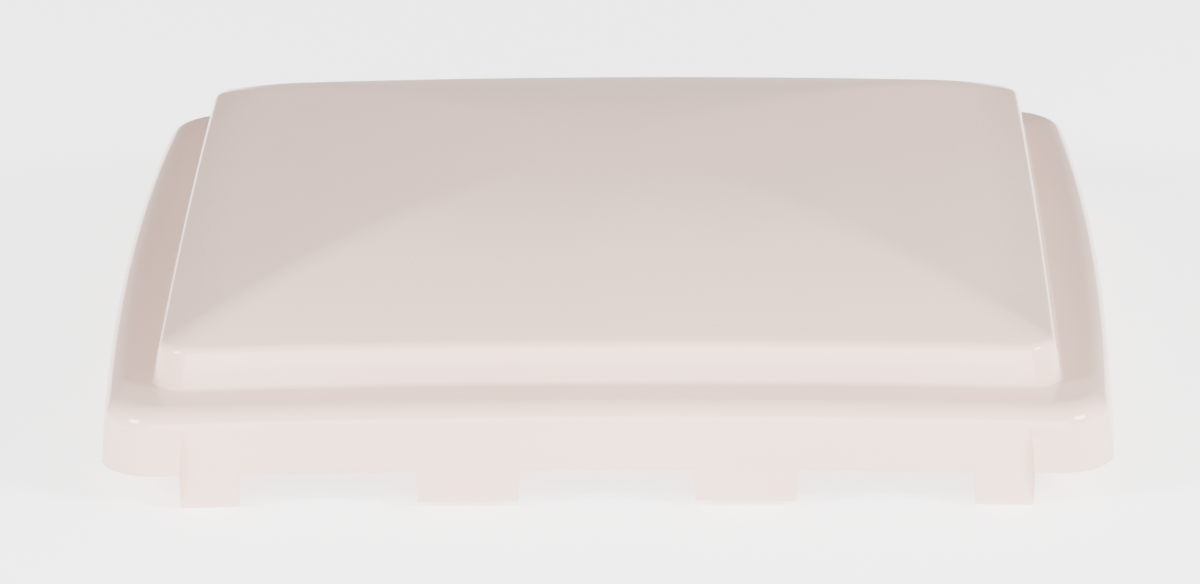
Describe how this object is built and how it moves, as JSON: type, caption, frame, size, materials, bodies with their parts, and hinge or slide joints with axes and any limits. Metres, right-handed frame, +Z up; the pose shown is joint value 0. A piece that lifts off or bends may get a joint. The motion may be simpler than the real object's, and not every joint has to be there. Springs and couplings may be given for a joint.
{
  "type": "roof vent cover",
  "caption": "Square moulded roof vent cover with a raised, shallow roof-shaped top, hinge tabs on one side, and its rod hinge, seal and lift track.",
  "frame": {"origin": "below the middle of the cover, level with the lowest edge of the hinge tabs", "axes": "+Z up, out of the roof; the hinge side with the four tabs faces -Y; X runs along the hinge rod"},
  "size_m": [0.412, 0.412, 0.0886],
  "materials": {
    "cover_plastic": "satin warm white moulded plastic",
    "seal_rubber": "matt black rubber",
    "rod_steel": "drawn steel rod",
    "zinc_plate": "zinc-plated sheet steel",
    "screw_steel": "plated screws",
    "nylon": "natural nylon"
  },
  "bodies": {
    "hinge_base": {"hinge_rod": "rod_steel", "rod_cap_left": "zinc_plate", "rod_cap_right": "zinc_plate", "hinge_bracket_left": "zinc_plate", "hinge_bracket_centre": "zinc_plate", "hinge_bracket_right": "zinc_plate"},
    "cover": {"cover_shell": "cover_plastic", "hinge_knuckle_1": "cover_plastic", "hinge_knuckle_2": "cover_plastic", "hinge_knuckle_3": "cover_plastic", "hinge_knuckle_4": "cover_plastic", "track_bosses": "cover_plastic", "lid_seal": "seal_rubber", "lift_track": "zinc_plate", "track_screws": "screw_steel", "track_stop_hinge_side": "seal_rubber", "track_stop_far_side": "seal_rubber"},
    "lift_shoe": {"slide_shoe": "nylon", "lift_clevis": "zinc_plate", "clevis_screws": "screw_steel", "lift_pin": "rod_steel", "pin_clip": "zinc_plate"}
  },
  "joints": [
    {"name": "cover_hinge", "type": "hinge", "parent": "hinge_base", "child": "cover", "pos_m": [0, -0.195, 0.022], "axis": [1, 0, 0], "range_deg": [0, 75]},
    {"name": "shoe_slide", "type": "slide", "parent": "cover", "child": "lift_shoe", "axis": [0, 1, 0], "range_m": [-0.05, 0.05]}
  ]
}
